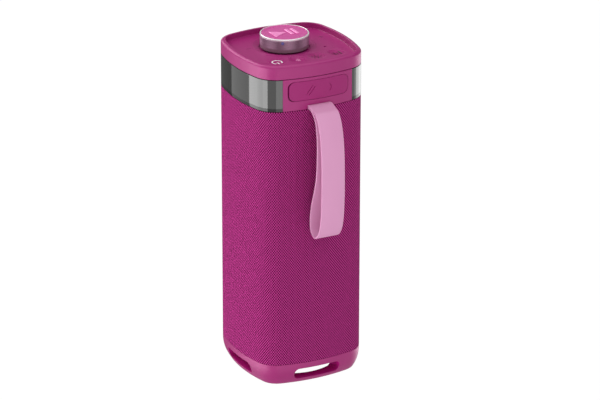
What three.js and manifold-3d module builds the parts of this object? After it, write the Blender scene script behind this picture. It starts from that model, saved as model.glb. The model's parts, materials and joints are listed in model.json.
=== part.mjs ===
// Shower speaker: a splash-proof battery loudspeaker in the form of a square tower with bulged
// sides. A fabric sleeve covers the cabinet, a clear light band runs round the top, and a rubber
// flap and a carrying strap are on the -Y side. Millimetres, +Z up, standing on z = 0. The origin
// is the middle of the whole outline, strap included, so the tower stands a little towards +Y.
import * as THREE from 'three';
import { mergeVertices } from 'three/addons/utils/BufferGeometryUtils.js';
import Module from 'manifold-3d';

const wasm = await Module();
wasm.setup();

// ---------------------------------------------------------------- driving dimensions
const halfWidth = 40;        // tower axis to the middle of a side
const sideRadius = 109.5;    // each side bulges on this arc
const cornerRadius = 16;     // upright corners
const gap = 0.3;             // clearance between neighbouring pieces

const baseBottom = 0.4;
const baseTop = 15.7;
const baseCurve = 23;        // radius of the base's tucked-in lower edge
const baseCurveTop = 14;
const fabricTop = 190.3;
const capBottom = 212;
const deckTop = 217.5;
const deckUnder = 214.9;
const rimTop = 221.1;
const rimRound = 3.2;
const knobTop = 226.2;
const bandBottom = fabricTop + gap;
const bandTop = capBottom - gap;

const fabricThickness = 1.2;
const cabinetOuter = 1.6;    // insets from the tower's outline
const cabinetInner = 4.1;
const coreOuter = 5.6;
const coreInner = 8;

const knobY = 8.8;
const knobRadius = 15.9;
const buttonY = -19;
const buttonX = { power: -19.4, pairing: -5.3, light: 8.8, mode: 22.9 };
const buttonRadius = 5;
const boardTop = 205.6;
const boardThickness = 1.6;
const micPlace = [21.9, -5.6];
const capScrews = [[24, 24], [-24, 24], [-28.8, -4], [28.8, -4]];

const panelLeft = -24.6;
const panelRight = 24.65;
const cover = { left: -20.6, right: 21.4, bottom: 196.8, top: 209.6, corner: 4 };
const usbPlace = [-7, 203.05];
const auxPlace = [8, 203.9];

const strapWidth = 16.3;
const strapThickness = 1.3;
const strapReach = 59.6;     // tower axis to the strap's outermost point
const strapPivot = [-41.7, 191.95];
const pinPlace = [-35.2, 192.3];

const slotHalfLength = 16.4;
const slotBottom = 4.6;
const slotTop = 11.3;
const baseOpening = 30;
const footAt = 25.5;
const footRadius = 4.6;

const driverZ = 140;
const driverScrewAt = 22;

const towerY = (strapReach - halfWidth) / 2;

// ---------------------------------------------------------------- shape helpers
const arcCentre = halfWidth - sideRadius;
const cornerCentre = (arcCentre + Math.sqrt(2 * (sideRadius - cornerRadius) ** 2 - arcCentre ** 2)) / 2;
const sideAngle = Math.atan2(cornerCentre, cornerCentre - arcCentre);
const sideSteps = 4;
const cornerSteps = 4;

// The tower's plan outline moved inwards by inset, counter-clockwise.
function outline(inset) {
  const points = [];
  for (let quarter = 0; quarter < 4; quarter++) {
    const add = (cx, cy, radius, angle) => {
      const point = new THREE.Vector2(
        cx + (radius - inset) * Math.cos(angle), cy + (radius - inset) * Math.sin(angle));
      points.push(point.rotateAround(new THREE.Vector2(), quarter * Math.PI / 2));
    };
    for (let i = 0; i < sideSteps; i++) {
      add(arcCentre, 0, sideRadius, sideAngle * (2 * i / sideSteps - 1));
    }
    for (let i = 0; i < cornerSteps; i++) {
      const turn = (Math.PI / 2 - 2 * sideAngle) * i / cornerSteps;
      add(cornerCentre, cornerCentre, cornerRadius, sideAngle + turn);
    }
  }
  return points;
}

function solid(geometry) {
  const bare = geometry.clone();
  bare.deleteAttribute('normal');
  bare.deleteAttribute('uv');
  const merged = mergeVertices(bare, 1e-4);
  return new wasm.Manifold(new wasm.Mesh({
    numProp: 3,
    vertProperties: new Float32Array(merged.attributes.position.array),
    triVerts: new Uint32Array(merged.index.array),
  }));
}

const join = (first, ...others) => others.reduce((sum, piece) => sum.add(piece), first);
const cut = (first, ...others) => others.reduce((rest, piece) => rest.subtract(piece), first);

// A solid whose plan is the tower's outline at each [inset, z] level, from the bottom up.
function tower(levels) {
  const rings = levels.map(([inset]) => outline(inset));
  const count = rings[0].length;
  const positions = [];
  const faces = [];
  rings.forEach((ring, k) => ring.forEach((p) => positions.push(p.x, p.y, levels[k][1])));
  const top = levels.length - 1;
  positions.push(0, 0, levels[0][1], 0, 0, levels[top][1]);
  const bottomCentre = count * levels.length;
  for (let j = 0; j < count; j++) {
    const next = (j + 1) % count;
    for (let k = 0; k < top; k++) {
      const low = k * count;
      const high = low + count;
      faces.push(low + j, low + next, high + next, low + j, high + next, high + j);
    }
    faces.push(bottomCentre, next, j);
    faces.push(bottomCentre + 1, top * count + j, top * count + next);
  }
  const geometry = new THREE.BufferGeometry();
  geometry.setAttribute('position', new THREE.Float32BufferAttribute(positions, 3));
  geometry.setIndex(faces);
  return solid(geometry);
}

// A wall of even thickness that follows the outline.
function wall(outer, inner, low, high) {
  return cut(tower([[outer, low], [outer, high]]), tower([[inner, low - 1], [inner, high + 1]]));
}

function block(x0, x1, y0, y1, z0, z1) {
  const geometry = new THREE.BoxGeometry(x1 - x0, y1 - y0, z1 - z0);
  return solid(geometry.translate((x0 + x1) / 2, (y0 + y1) / 2, (z0 + z1) / 2));
}

// A turned piece on an upright axis through (x, y). The profile lists [radius, z].
function turned(profile, x = 0, y = 0, segments = 20) {
  const points = profile.map(([radius, z]) => new THREE.Vector2(radius, z));
  return solid(new THREE.LatheGeometry(points, segments).rotateX(Math.PI / 2).translate(x, y, 0));
}

// A turned piece on the driver's axis, which runs along +Y. The profile lists [radius, y].
function turnedAlongY(profile, segments = 24) {
  const points = profile.map(([radius, y]) => new THREE.Vector2(radius, y));
  return solid(new THREE.LatheGeometry(points, segments).translate(0, 0, driverZ));
}

const drum = (radius, low, high, x = 0, y = 0, segments = 16) =>
  turned([[0, low], [radius, low], [radius, high], [0, high]], x, y, segments);

// A round bar along X through (y, z).
function barX(radius, x0, x1, [y, z], segments = 16) {
  const geometry = new THREE.CylinderGeometry(radius, radius, x1 - x0, segments);
  return solid(geometry.rotateZ(Math.PI / 2).translate((x0 + x1) / 2, y, z));
}

// A round bar along Y through (x, z).
function barY(radius, y0, y1, x, z, segments = 16) {
  const geometry = new THREE.CylinderGeometry(radius, radius, y1 - y0, segments);
  return solid(geometry.translate(x, (y0 + y1) / 2, z));
}

// A rounded rectangle in the XZ plane, taken from y0 to y1.
function slab(x0, x1, z0, z1, radius, y0, y1) {
  const shape = new THREE.Shape();
  shape.absarc(x1 - radius, z1 - radius, radius, 0, Math.PI / 2);
  shape.absarc(x0 + radius, z1 - radius, radius, Math.PI / 2, Math.PI);
  shape.absarc(x0 + radius, z0 + radius, radius, Math.PI, 1.5 * Math.PI);
  shape.absarc(x1 - radius, z0 + radius, radius, 1.5 * Math.PI, 2 * Math.PI);
  const options = { depth: y1 - y0, bevelEnabled: false, curveSegments: 4 };
  return solid(new THREE.ExtrudeGeometry(shape, options).rotateX(Math.PI / 2).translate(0, y1, 0));
}

// A strip of even thickness along a smooth curve through [y, z] places, centred on x = 0.
function strip(places, width, thickness, steps) {
  const curve = new THREE.CatmullRomCurve3(places.map(([y, z]) => new THREE.Vector3(y, z, 0)));
  const near = [];
  const far = [];
  for (let i = 0; i <= steps; i++) {
    const centre = curve.getPoint(i / steps);
    const along = curve.getTangent(i / steps);
    const aside = new THREE.Vector3(-along.y, along.x, 0).multiplyScalar(thickness / 2);
    near.push(centre.clone().add(aside));
    far.unshift(centre.clone().sub(aside));
  }
  const shape = new THREE.Shape([...near, ...far].map((p) => new THREE.Vector2(p.x, p.y)));
  const geometry = new THREE.ExtrudeGeometry(shape, { depth: width, bevelEnabled: false });
  const toYZ = new THREE.Matrix4().makeBasis(
    new THREE.Vector3(0, 1, 0), new THREE.Vector3(0, 0, 1), new THREE.Vector3(1, 0, 0));
  return solid(geometry.applyMatrix4(toYZ).translate(-width / 2, 0, 0));
}

const fourCorners = (at) => [[at, at], [-at, at], [-at, -at], [at, -at]];

// ---------------------------------------------------------------- materials
const material = (color, roughness, metalness = 0, extra = {}) =>
  new THREE.MeshStandardMaterial({ color, roughness, metalness, ...extra });
const magenta = material(0xa33b78, 0.45);
const fabric = material(0x8f2b66, 0.95);
const smoke = material(0x6b6b6b, 0.15, 0, { transparent: true, opacity: 0.6 });
const frosted = material(0xb9b9b9, 0.6);
const pink = material(0xd99dc3, 0.5);
const smokyMetal = material(0x6f4f62, 0.25, 0.6);
const brightMetal = material(0xe6dfe3, 0.2, 1);
const steel = material(0xa8a8aa, 0.35, 1);
const black = material(0x1c1c1e, 0.7);
const boardGreen = material(0x1f4a35, 0.6);
const cellBlue = material(0x2f5f8f, 0.5);

const model = new THREE.Group();
const body = new THREE.Group();
body.position.y = towerY;
model.add(body);

function addPiece(name, shape, finish) {
  const { vertProperties, triVerts } = shape.getMesh();
  const geometry = new THREE.BufferGeometry();
  geometry.setAttribute('position', new THREE.BufferAttribute(vertProperties, 3));
  geometry.setIndex(new THREE.BufferAttribute(triVerts, 1));
  geometry.computeVertexNormals();
  const mesh = new THREE.Mesh(geometry, finish);
  mesh.name = name;
  body.add(mesh);
}

// ---------------------------------------------------------------- top cap and its controls
const knobPocket = { wide: 20.2, wideFloor: deckTop - 0.4, narrow: 16.5, floor: deckTop - 1.2 };

function topCap() {
  const levels = [[0, capBottom]];
  const rounds = 3;
  for (let i = 0; i <= rounds; i++) {
    const angle = (Math.PI / 2) * i / rounds;
    levels.push([rimRound * (1 - Math.cos(angle)), rimTop - rimRound * (1 - Math.sin(angle))]);
  }
  const recess = tower([[4.5, deckTop], [3.1, rimTop + 1]]);
  const cavity = tower([[2.4, capBottom - 1], [2.4, deckUnder]]);
  let cap = cut(tower(levels), recess, cavity);
  for (const [x, y] of capScrews) {
    cap = join(cap, drum(2.6, capBottom + gap, deckUnder + 0.5, x, y, 16));
    cap = cut(cap, drum(1.5, capBottom - 1, deckUnder + 0.2, x, y, 12));
  }
  for (const x of Object.values(buttonX)) {
    cap = cut(cap, drum(buttonRadius + 0.25, deckUnder - 1, deckTop + 1, x, buttonY));
  }
  return cut(cap,
    drum(knobPocket.wide, knobPocket.wideFloor, deckTop + 1, 0, knobY, 28),
    drum(knobPocket.narrow, knobPocket.floor, deckTop + 1, 0, knobY, 28),
    drum(4, deckUnder - 1, deckTop, 0, knobY),
    drum(0.6, deckUnder - 1, deckTop + 1, ...micPlace, 12));
}

// A dished key with a retaining flange under the deck and a stem down to its switch.
function button(x) {
  const flangeTop = deckUnder - gap;
  return turned([
    [0, 209.9], [2, 209.9], [2, flangeTop - 0.7], [5.8, flangeTop - 0.7], [5.8, flangeTop],
    [buttonRadius, flangeTop], [buttonRadius, 217.1], [4.7, 217.4], [2.6, 216.9], [0, 216.75],
  ], x, buttonY);
}

function tactSwitch(x) {
  const half = 3;
  const low = boardTop + gap;
  return join(block(x - half, x + half, buttonY - half, buttonY + half, low, low + 2.6),
    drum(1.7, low + 2.4, low + 3.5, x, buttonY, 16));
}

function controlBoard() {
  const low = boardTop - boardThickness;
  return cut(tower([[coreInner + gap, low], [coreInner + gap, boardTop]]),
    block(-15, 16, -40, -24.4, low - 1, boardTop + 1));
}

function encoderHousing() {
  const half = 6.2;
  const low = boardTop + gap;
  return cut(block(-half, half, knobY - half, knobY + half, low, low + 5.2),
    drum(3.3, low + 1, low + 6, 0, knobY));
}

function knobShell() {
  return turned([
    [3.3, 217], [15.5, 217], [knobRadius, 217.4], [knobRadius, 224.6], [15.7, 224.9],
    [13.9, 224.9], [13.9, 224.3], [3.3, 224.3], [3.3, 217],
  ], 0, knobY, 28);
}

function knobTrim() {
  return turned([
    [14, 225.2], [15.85, 225.2], [15.85, 225.5], [14.9, knobTop], [14, knobTop], [14, 225.2],
  ], 0, knobY, 28);
}

// The inset top of the knob, with a raised play triangle and two pause bars.
function knobDisc() {
  const plate = turned([[0, 224.6], [13.7, 224.6], [13.7, 225.6], [0, 225.6]], 0, knobY, 28);
  const marks = [block(1.4, 2.8, knobY - 4, knobY + 4, 225.4, 225.9),
    block(4.4, 5.8, knobY - 4, knobY + 4, 225.4, 225.9)];
  const triangle = new THREE.CylinderGeometry(4.6, 4.6, 0.5, 3).rotateX(Math.PI / 2);
  const play = solid(triangle.rotateZ(Math.PI).translate(-3.6, knobY, 225.65));
  return join(plate, ...marks, play);
}

addPiece('top_cap', topCap(), magenta);
addPiece('control_board', controlBoard(), boardGreen);
for (const [name, x] of Object.entries(buttonX)) {
  addPiece(`${name}_button`, button(x), magenta);
  addPiece(`${name}_switch`, tactSwitch(x), black);
}
addPiece('microphone', drum(2, 213.2, 214.6, ...micPlace, 16), black);
addPiece('encoder_housing', encoderHousing(), black);
addPiece('encoder_plunger', drum(2.4, 207.6, 209, 0, knobY, 16), steel);
addPiece('encoder_shaft', drum(3, 209.3, 224, 0, knobY), steel);
addPiece('knob_shell', knobShell(), smokyMetal);
addPiece('knob_trim', knobTrim(), brightMetal);
addPiece('knob_disc', knobDisc(), pink);

// ---------------------------------------------------------------- light band
// The band, its diffuser and its lamp strip all stop at the port panel.
function openWall(outer, inner, low, high, clearance) {
  const doorway = block(panelLeft - clearance, panelRight + clearance, -50, -20, low - 2, high + 2);
  return cut(wall(outer, inner, low, high), doorway);
}

function lampStrip() {
  const low = 196;
  const high = 206;
  let strip = openWall(4.6, 5.3, low, high, 1.5);
  const face = halfWidth - 4.9;
  for (const along of [-14, 0, 14]) {
    const back = face - (sideRadius - Math.sqrt(sideRadius ** 2 - along ** 2));
    strip = join(strip,
      block(along - 1.5, along + 1.5, back - 0.1, back + 0.9, 199, 202),
      block(back - 0.1, back + 0.9, along - 1.5, along + 1.5, 199, 202),
      block(-back - 0.9, -back + 0.1, along - 1.5, along + 1.5, 199, 202));
  }
  return strip;
}

addPiece('light_band', openWall(0, 2.2, bandBottom, bandTop, gap), smoke);
addPiece('light_diffuser', openWall(2.6, 3.6, bandBottom + 1, bandTop - 1, 1.2), frosted);
addPiece('lamp_strip', lampStrip(), boardGreen);

// ---------------------------------------------------------------- port housing, sockets, flap
function portHousing() {
  const panel = tower([[0, bandBottom], [0, bandTop]])
    .intersect(block(panelLeft, panelRight, -45, -33.5, bandBottom - 1, bandTop + 1));
  let housing = join(panel, tower([[coreOuter, bandBottom], [coreOuter, bandTop]]));
  housing = cut(housing, tower([[coreInner, bandBottom - 1], [coreInner, bandTop + 1]]));
  for (const [x, y] of capScrews) {
    const lug = drum(5.5, 208.6, bandTop, x, y, 16)
      .intersect(tower([[coreOuter + 0.5, 208], [coreOuter + 0.5, 212]]));
    housing = cut(join(housing, lug), drum(1.5, 208, 213, x, y, 12));
  }
  const mouth = slab(cover.left - gap, cover.right + gap, cover.bottom - gap, cover.top + gap,
    cover.corner + gap, -45, -30);
  const pocket = cut(mouth, tower([[2.2, bandBottom - 1], [2.2, bandTop + 1]]));
  return cut(housing, pocket,
    block(-13.3, 14.3, -42, -26, 199.9, 207),
    block(-8.5, 8.5, -42, -36.9, bandBottom - 1, 193.8),
    block(-8.5, 8.5, -37.7, -32.8, bandBottom - 1, 194.7),
    barX(1.2, -10.6, 10.6, pinPlace));
}

function portCover() {
  const shape = slab(cover.left, cover.right, cover.bottom, cover.top, cover.corner, -45, -30);
  const flap = wall(0.1, 1.9, bandBottom, bandTop).intersect(shape);
  return join(flap, block(-12.4, 13.4, -38.3, -36.6, 200.7, 206.2));
}

function usbSocket() {
  const [x, z] = usbPlace;
  return cut(slab(x - 4.5, x + 4.5, z - 1.62, z + 1.62, 1.5, -36.2, -28.9),
    slab(x - 4.2, x + 4.2, z - 1.28, z + 1.28, 1.2, -37, -30));
}

function auxSocket() {
  const [x, z] = auxPlace;
  return cut(join(block(x - 3.5, x + 3.5, -33.8, -25, z - 2.5, z + 2.5),
    barY(2.5, -36.2, -33.5, x, z)), barY(1.8, -37, -26, x, z));
}

addPiece('port_housing', portHousing(), magenta);
addPiece('port_cover', portCover(), magenta);
addPiece('usb_socket', usbSocket(), steel);
addPiece('aux_socket', auxSocket(), black);
addPiece('port_board', block(-15, 16, -30.4, -20, 199.8, 201.1), boardGreen);
addPiece('top_gasket', wall(2.8, 5.2, capBottom + gap, 214.4), black);

// ---------------------------------------------------------------- carrying strap
const frontLeg = [
  [-41.7, 192.6], [-46.3, 190.9], [-50.2, 189.3], [-53.6, 184.7], [-56.4, 176.8], [-58.2, 165],
  [-58.95, 148], [-58.6, 130], [-57, 117], [-53.6, 109.4], [-49, 106.1], [-48, 106],
];
const backLeg = [
  [-41.7, 191.3], [-45.6, 189.9], [-49.9, 184.9], [-51.85, 176.5], [-52.5, 166], [-51.6, 150],
  [-48.7, 138], [-44.9, 127.5], [-42.9, 117], [-43.3, 109.4], [-46, 106.8], [-49.6, 106.1],
];

function strapLoop() {
  return join(strip(frontLeg, strapWidth, strapThickness, 20),
    strip(backLeg, strapWidth, strapThickness, 20),
    barX(1.3, -strapWidth / 2, strapWidth / 2, strapPivot));
}

// The part of the strap held inside the slot, wrapped round its pin.
function strapAnchor() {
  const half = strapWidth / 2;
  return cut(join(block(-half, half, -40, pinPlace[0], 190.9, 193.5), barX(2, -half, half, pinPlace)),
    barX(1.15, -half - 1, half + 1, pinPlace));
}

addPiece('strap', strapLoop(), pink);
addPiece('strap_anchor', strapAnchor(), pink);
addPiece('strap_pin', barX(0.9, -10.2, 10.2, pinPlace), steel);

// ---------------------------------------------------------------- cabinet and fabric
const cabinetBottom = 17.2;
const cabinetTop = 189;

function cabinet() {
  const inside = tower([[cabinetInner, cabinetBottom + 3], [cabinetInner, cabinetTop - 2.5]]);
  let box = cut(tower([[cabinetOuter, cabinetBottom], [cabinetOuter, cabinetTop]]), inside,
    drum(25.5, cabinetBottom - 1, cabinetBottom + 4, 0, 0, 32),
    drum(4, cabinetTop - 4, cabinetTop + 1, 0, -8, 16),
    barY(22.5, 20, 45, 0, driverZ, 24));
  for (const [x, y] of fourCorners(footAt)) {
    box = cut(box, drum(1.7, cabinetBottom - 1, cabinetBottom + 4, x, y, 8));
  }
  for (const [x, dz] of fourCorners(driverScrewAt)) {
    box = cut(box, barY(1.5, 30, 35.4, x, driverZ + dz, 8));
  }
  return box;
}

addPiece('cabinet', cabinet(), black);
addPiece('fabric_sleeve', wall(0, fabricThickness, baseTop + gap, fabricTop), fabric);

// ---------------------------------------------------------------- full-range driver
function driverFrame() {
  const flange = cut(slab(-25, 25, driverZ - 25, driverZ + 25, 4, 30.6, 32.6),
    barY(22.3, 29, 34, 0, driverZ, 24));
  const basket = turnedAlongY([
    [8, 14], [17, 14], [24, 30.8], [22.3, 30.8], [16, 15.4], [8, 15.4], [8, 14],
  ]);
  let frame = join(flange, basket);
  for (const [x, dz] of fourCorners(driverScrewAt)) {
    frame = cut(frame, barY(1.5, 29, 34, x, driverZ + dz, 8));
  }
  return frame;
}

function driverScrew(x, z) {
  return join(barY(2.4, 28.5, 30.3, x, z, 10), barY(1.2, 29, 35, x, z, 8));
}

addPiece('driver_frame', driverFrame(), steel);
addPiece('driver_magnet', turnedAlongY([[0, 3.5], [15, 3.5], [15, 13.7], [0, 13.7]]), steel);
addPiece('driver_surround', turnedAlongY([
  [18.4, 31.2], [22, 31.2], [22, 32.6], [21, 33.6], [19.6, 33.6], [18.4, 32.4], [18.4, 31.2],
]), black);
addPiece('driver_cone', turnedAlongY([
  [0, 23.5], [5.2, 22.6], [5.2, 17], [6.2, 17], [6.2, 21.8], [18, 30.6], [18, 31.8],
  [7, 23.8], [5, 25.4], [0, 26.2],
]), black);
fourCorners(driverScrewAt).forEach(([x, dz], i) => {
  addPiece(`driver_screw_${i + 1}`, driverScrew(x, driverZ + dz), steel);
});

// ---------------------------------------------------------------- battery and main board
const cellX = 9.8;
const cellY = -14;

function batteryCell(x) {
  return turned([[0, 30], [9.1, 30], [9.1, 94], [3, 94], [3, 95], [0, 95]], x, cellY);
}

function batteryHolder() {
  return join(block(-20, 20, -26, -24, 27, 98), block(-20, 20, -25, -6, 27, 29),
    block(-20, 20, -25, -6, 96, 98));
}

function mainBoard() {
  return join(block(-26, 26, -31.4, -29.8, 102, 180), block(-16, -6, -30, -27, 150, 160),
    block(4, 18, -30, -24, 118, 130), block(-20, -8, -30, -25, 112, 124));
}

addPiece('battery_cell_1', batteryCell(-cellX), cellBlue);
addPiece('battery_cell_2', batteryCell(cellX), cellBlue);
addPiece('battery_holder', batteryHolder(), black);
addPiece('main_board', mainBoard(), boardGreen);

// ---------------------------------------------------------------- base and bass radiator
function baseRing() {
  const levels = [];
  const steps = 4;
  for (let i = 0; i <= steps; i++) {
    const z = baseBottom + (baseCurveTop - baseBottom) * i / steps;
    levels.push([baseCurve - Math.sqrt(baseCurve ** 2 - (baseCurveTop - z) ** 2), z]);
  }
  levels.push([0, baseTop]);
  const slot = () => slab(-slotHalfLength, slotHalfLength, slotBottom, slotTop, 3.3, -60, 60);
  let ring = cut(tower(levels), drum(baseOpening, -1, baseTop + 1, 0, 0, 32),
    slot(), slot().rotate([0, 0, 90]));
  for (const [x, y] of fourCorners(footAt)) {
    ring = cut(ring, drum(footRadius + 0.2, -1, 1.8, x, y), drum(3, 0, 9, x, y, 12),
      drum(1.7, 0, baseTop + 1, x, y, 8));
  }
  return ring;
}

function baseScrew(x, y) {
  return join(drum(2.7, 6.4, 8.7, x, y, 10), drum(1.3, 8, 19.5, x, y, 8));
}

addPiece('base', baseRing(), magenta);
addPiece('base_gasket', wall(2.2, 4.6, baseTop + gap, cabinetBottom - gap), black);
addPiece('radiator_frame', turned([
  [25, 14.4], [29.5, 14.4], [29.5, 16.9], [25, 16.9], [25, 14.4],
], 0, 0, 24), black);
addPiece('radiator_surround', turned([
  [19.5, 14.2], [20.6, 13], [23.4, 13], [24.7, 14.4], [24.7, 15.6], [19.5, 15.6], [19.5, 14.2],
], 0, 0, 24), black);
addPiece('radiator_plate', turned([
  [0, 13.6], [19.2, 13.6], [19.2, 15.2], [8, 15.2], [8, 17.6], [0, 17.6],
], 0, 0, 24), steel);
fourCorners(footAt).forEach(([x, y], i) => {
  addPiece(`foot_${i + 1}`, drum(footRadius, 0, 1.5, x, y), black);
  addPiece(`base_screw_${i + 1}`, baseScrew(x, y), steel);
});
capScrews.forEach(([x, y], i) => {
  const screw = join(drum(2.6, 206.2, 208.3, x, y, 10), drum(1.2, 208, 214.3, x, y, 8));
  addPiece(`cap_screw_${i + 1}`, screw, steel);
});

export default model;
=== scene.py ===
"""Looks of the shower speaker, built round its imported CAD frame. Metres, +Z up."""

import json
import math

import bmesh
import bpy
from mathutils import Matrix, Vector


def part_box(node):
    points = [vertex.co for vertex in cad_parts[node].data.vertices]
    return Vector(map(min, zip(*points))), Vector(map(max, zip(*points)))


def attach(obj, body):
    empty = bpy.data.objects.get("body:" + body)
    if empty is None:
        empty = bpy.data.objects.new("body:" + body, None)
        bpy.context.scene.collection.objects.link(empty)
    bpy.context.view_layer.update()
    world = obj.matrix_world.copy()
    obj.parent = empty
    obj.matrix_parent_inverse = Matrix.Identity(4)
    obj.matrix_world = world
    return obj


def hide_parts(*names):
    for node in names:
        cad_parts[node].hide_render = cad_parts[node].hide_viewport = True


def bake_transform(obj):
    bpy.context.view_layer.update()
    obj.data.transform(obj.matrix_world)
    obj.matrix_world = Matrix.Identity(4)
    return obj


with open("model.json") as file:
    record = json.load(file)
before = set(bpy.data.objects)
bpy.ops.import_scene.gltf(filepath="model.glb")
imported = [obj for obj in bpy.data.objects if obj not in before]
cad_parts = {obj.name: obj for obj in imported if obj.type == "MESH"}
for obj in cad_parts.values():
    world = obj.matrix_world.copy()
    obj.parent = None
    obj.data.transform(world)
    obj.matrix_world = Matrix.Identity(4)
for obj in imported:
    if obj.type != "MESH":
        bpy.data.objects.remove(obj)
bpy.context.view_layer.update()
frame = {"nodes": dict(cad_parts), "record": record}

# ------------------------------------------------------------------ driving sizes
MM = 0.001
SIDE_RADIUS = 109.5 * MM      # each side of the tower bulges on this arc
CORNER_RADIUS = 16 * MM       # upright corners
SIDE_STEPS = 20
CORNER_STEPS = 16

base_low, base_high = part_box("base")
cap_low, cap_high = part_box("top_cap")
band_low, band_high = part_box("light_band")
sleeve_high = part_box("fabric_sleeve")[1]
knob_low, knob_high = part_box("knob_shell")
HALF_WIDTH = (base_high.x - base_low.x) / 2
AXIS_Y = (base_low.y + base_high.y) / 2
KNOB_Y = (knob_low.y + knob_high.y) / 2
KNOB_RADIUS = (knob_high.x - knob_low.x) / 2
RIM_TOP = cap_high.z
DECK = RIM_TOP - 3.6 * MM     # the deck lies this far below the rim
DECK_UNDER = DECK - 2.6 * MM

ARC_CENTRE = HALF_WIDTH - SIDE_RADIUS
CORNER_ROOT = math.sqrt(2 * (SIDE_RADIUS - CORNER_RADIUS) ** 2 - ARC_CENTRE ** 2)
CORNER_CENTRE = (ARC_CENTRE + CORNER_ROOT) / 2
SIDE_ANGLE = math.atan2(CORNER_CENTRE, CORNER_CENTRE - ARC_CENTRE)

BUTTONS = ("power", "pairing", "light", "mode")
BUTTON_RADIUS = 5.03 * MM
BUTTON_DISH = 1.2 * MM
POWER_DISH = 0.15 * MM
DISH_RADIUS = 6.1 * MM        # each key's dish runs on into the deck, out to here
MARK_SINK = 0.1 * MM          # how deep a raised mark's root goes into the surface under it


# ------------------------------------------------------------------ mesh helpers
def plan_middle(low, high):
    """The middle of a box from its two corners, as (x, y)."""
    return (low.x + high.x) / 2, (low.y + high.y) / 2


def sweep(turn, steps):
    """(cos, sin) of evenly spaced angles from 0 to turn, for a rounded edge."""
    return [(math.cos(turn * i / steps), math.sin(turn * i / steps)) for i in range(steps + 1)]


def outline(inset, z):
    """The tower's plan outline moved inwards by inset, as a ring of points at height z."""
    ring = []
    for quarter in range(4):
        turn = Matrix.Rotation(quarter * math.pi / 2, 2)

        def add(centre, radius, angle):
            spoke = Vector((math.cos(angle), math.sin(angle))) * (radius - inset)
            x, y = turn @ (Vector(centre) + spoke)
            ring.append(Vector((x, y + AXIS_Y, z)))

        for i in range(SIDE_STEPS):
            add((ARC_CENTRE, 0), SIDE_RADIUS, SIDE_ANGLE * (2 * i / SIDE_STEPS - 1))
        for i in range(CORNER_STEPS):
            past_side = (math.pi / 2 - 2 * SIDE_ANGLE) * i / CORNER_STEPS
            add((CORNER_CENTRE, CORNER_CENTRE), CORNER_RADIUS, SIDE_ANGLE + past_side)
    return ring


def front_y(x, inset=0.0):
    """Where the -Y side lies at x."""
    return AXIS_Y - ARC_CENTRE - math.sqrt((SIDE_RADIUS - inset) ** 2 - x * x)


def at_depth(depth):
    """A surface that follows the -Y side, moved inwards by depth."""
    return lambda x, z: front_y(x) + depth


def make(name, points, faces):
    mesh = bpy.data.meshes.new(name)
    mesh.from_pydata([tuple(p) for p in points], [], faces)
    mesh.validate()
    shell = bmesh.new()
    shell.from_mesh(mesh)
    bmesh.ops.recalc_face_normals(shell, faces=shell.faces)
    shell.to_mesh(mesh)
    shell.free()
    piece = bpy.data.objects.new(name, mesh)
    bpy.context.scene.collection.objects.link(piece)
    return piece


def skin(name, rings, closed=False):
    """Skins rings of equal length. The end rings are filled, or joined to each other if closed."""
    count = len(rings[0])
    points = [p for ring in rings for p in ring]
    faces = []
    for k in range(len(rings) if closed else len(rings) - 1):
        low, high = k * count, (k + 1) % len(rings) * count
        for j in range(count):
            following = (j + 1) % count
            faces.append((low + j, low + following, high + following, high + j))
    if not closed:
        faces.append(tuple(range(count - 1, -1, -1)))
        faces.append(tuple(range((len(rings) - 1) * count, len(rings) * count)))
    return make(name, points, faces)


def tower(name, levels):
    return skin(name, [outline(inset, z) for inset, z in levels])


def circle(radius, z, x, y, steps):
    return [Vector((x + radius * math.cos(a), y + radius * math.sin(a), z))
            for a in (2 * math.pi * i / steps for i in range(steps))]


def turned(name, profile, x, y, steps=64, closed=False):
    """Turns a profile of (radius, z) about an upright axis. Radii are never quite zero."""
    return skin(name, [circle(max(r, 0.02 * MM), z, x, y, steps) for r, z in profile], closed)


def lozenge(x0, x1, z0, z1, radius, steps=8, spans=28):
    """A rounded rectangle as upright columns (x, lowest z, highest z), from left to right."""
    middle, half = (z0 + z1) / 2, (z1 - z0) / 2
    end = [(radius * (1 - cos), half - radius + radius * sin) for cos, sin in sweep(math.pi / 2, steps)]
    width = x1 - x0 - 2 * radius
    columns = [(x0 + step, reach) for step, reach in end]
    columns += [(x0 + radius + width * i / spans, half) for i in range(1, spans)]
    columns += [(x1 - step, reach) for step, reach in reversed(end)]
    return [(x, middle - reach, middle + reach) for x, reach in columns]


def slab(name, layers):
    """A slab from layers of (columns, surface), where surface(x, z) gives the layer's y."""
    rings = []
    for columns, surface in layers:
        bottom = [Vector((x, surface(x, low), low)) for x, low, high in columns]
        top = [Vector((x, surface(x, high), high)) for x, low, high in columns]
        rings.append(bottom + top[::-1])
    count = len(rings[0])
    points = [p for ring in rings for p in ring]
    faces = []
    for k in range(len(rings) - 1):
        near, far = k * count, (k + 1) * count
        for j in range(count):
            following = (j + 1) % count
            faces.append((near + j, near + following, far + following, far + j))
    for start in (0, (len(rings) - 1) * count):
        for i in range(count // 2 - 1):
            faces.append((start + i, start + i + 1, start + count - 2 - i, start + count - 1 - i))
    return make(name, points, faces)


def evaluate(piece):
    """Applies a piece's modifiers to its mesh."""
    graph = bpy.context.evaluated_depsgraph_get()
    mesh = bpy.data.meshes.new_from_object(piece.evaluated_get(graph))
    piece.modifiers.clear()
    old = piece.data
    piece.data = mesh
    mesh.name = old.name
    bpy.data.meshes.remove(old)


def combine(piece, others, operation):
    for other in others:
        change = piece.modifiers.new("combine", "BOOLEAN")
        change.operation = operation
        change.solver = "EXACT"
        change.object = other
        evaluate(piece)
        bpy.data.objects.remove(other)


def carve(piece, *cutters):
    combine(piece, cutters, "DIFFERENCE")


def weld(piece, *others):
    combine(piece, others, "UNION")


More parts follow.
